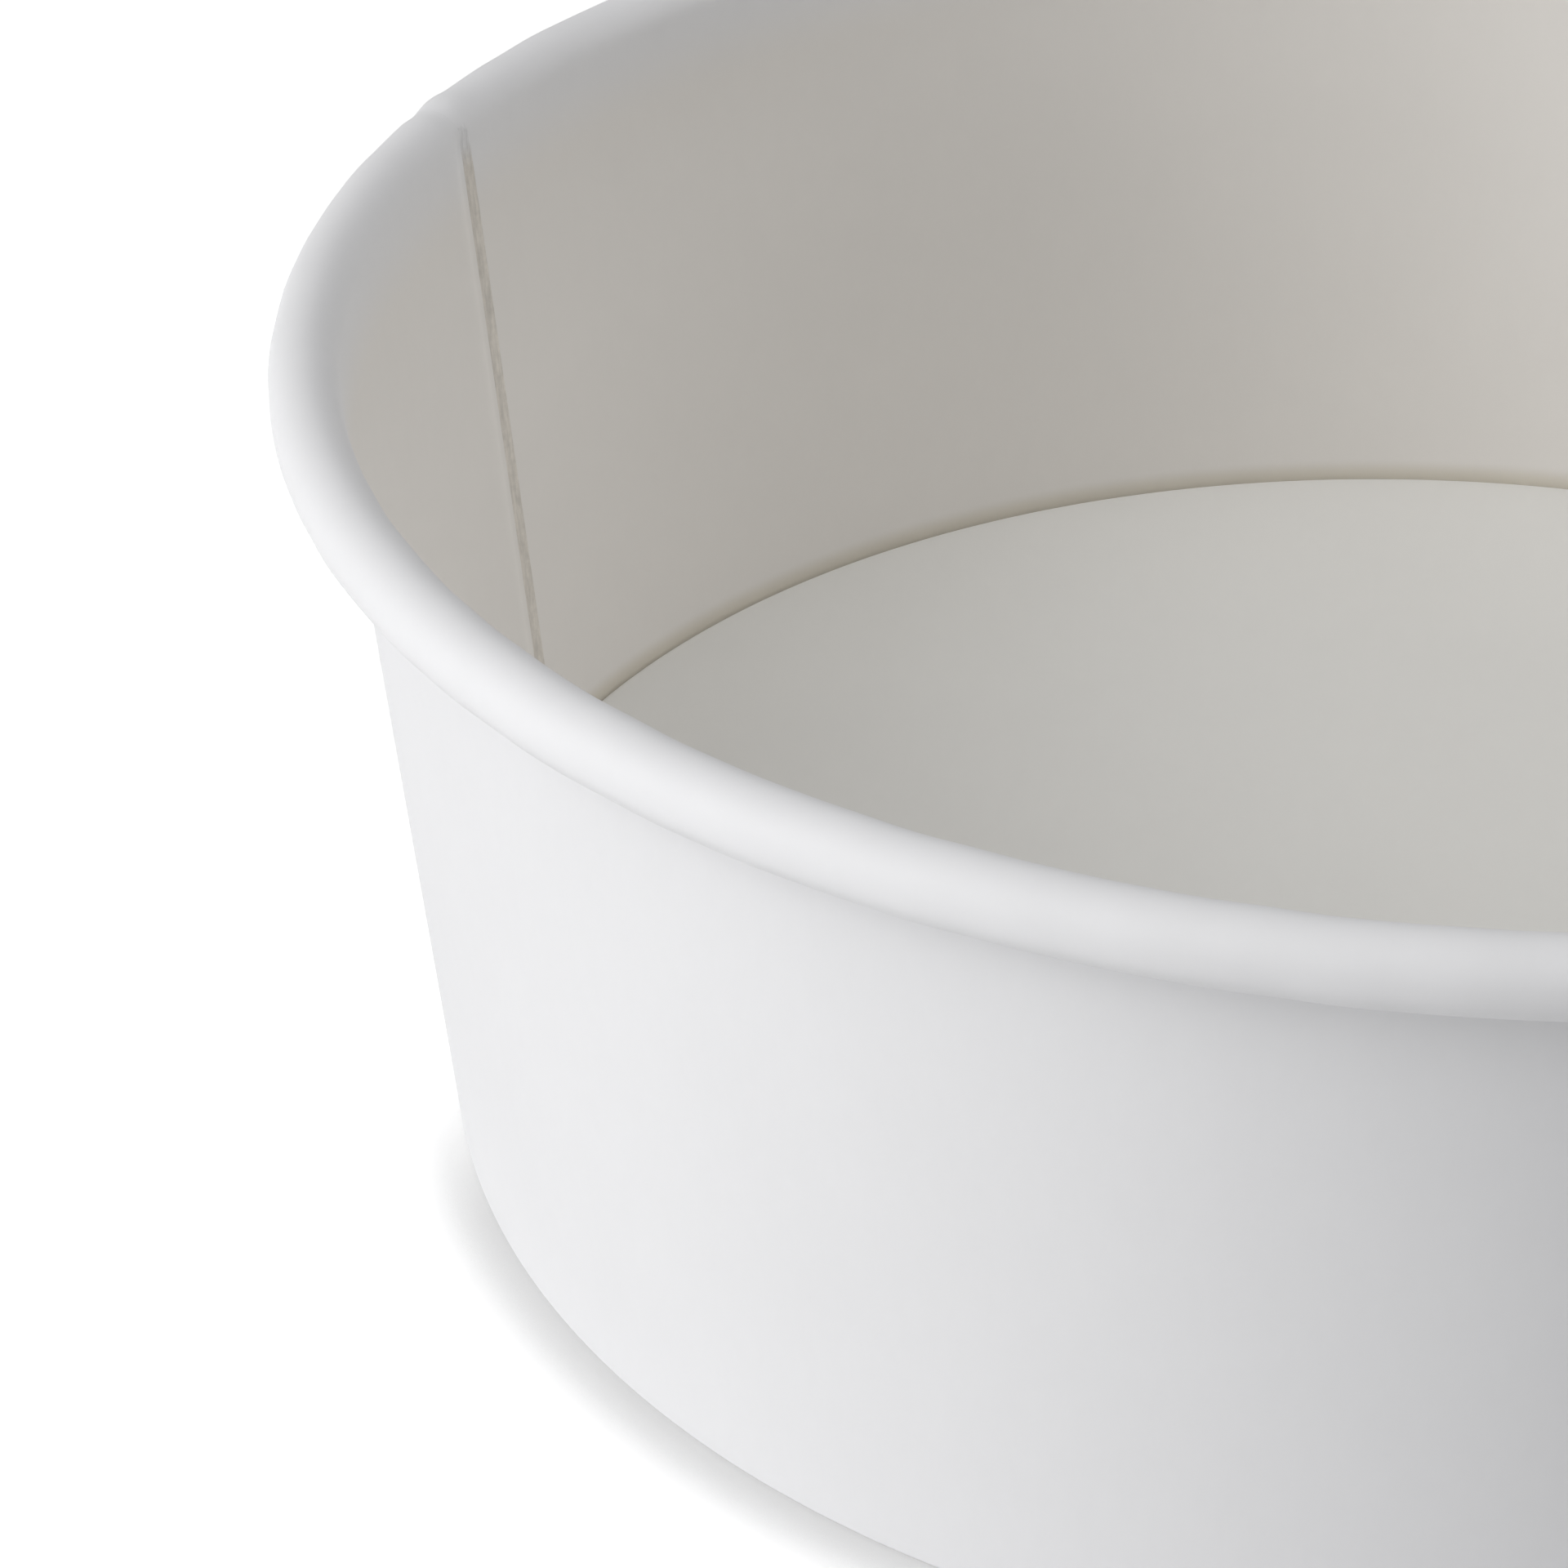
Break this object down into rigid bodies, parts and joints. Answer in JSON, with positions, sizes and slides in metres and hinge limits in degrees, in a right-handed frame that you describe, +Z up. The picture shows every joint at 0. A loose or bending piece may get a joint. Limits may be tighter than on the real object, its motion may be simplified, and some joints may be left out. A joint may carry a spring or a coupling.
{
  "type": "paper salad bowl",
  "caption": "Round white paperboard salad bowl with an outward rolled rim, a lapped side seam and a raised floor whose skirt is held in the folded foot of the wall.",
  "frame": {"origin": "centre of the ring on which the bowl stands, on the table's plane", "axes": "+Z up along the bowl's axis; +X to the right of the picture's viewer, who looks along +Y; the inner cut edge of the lap seam is at 164 degrees from +X, anticlockwise seen from above"},
  "size_m": [0.15, 0.15, 0.0541],
  "materials": {
    "wall_board": "satin",
    "floor_board": "satin"
  },
  "bodies": {
    "root": {"side_wall": "wall_board", "base_disc": "floor_board"}
  },
  "joints": []
}
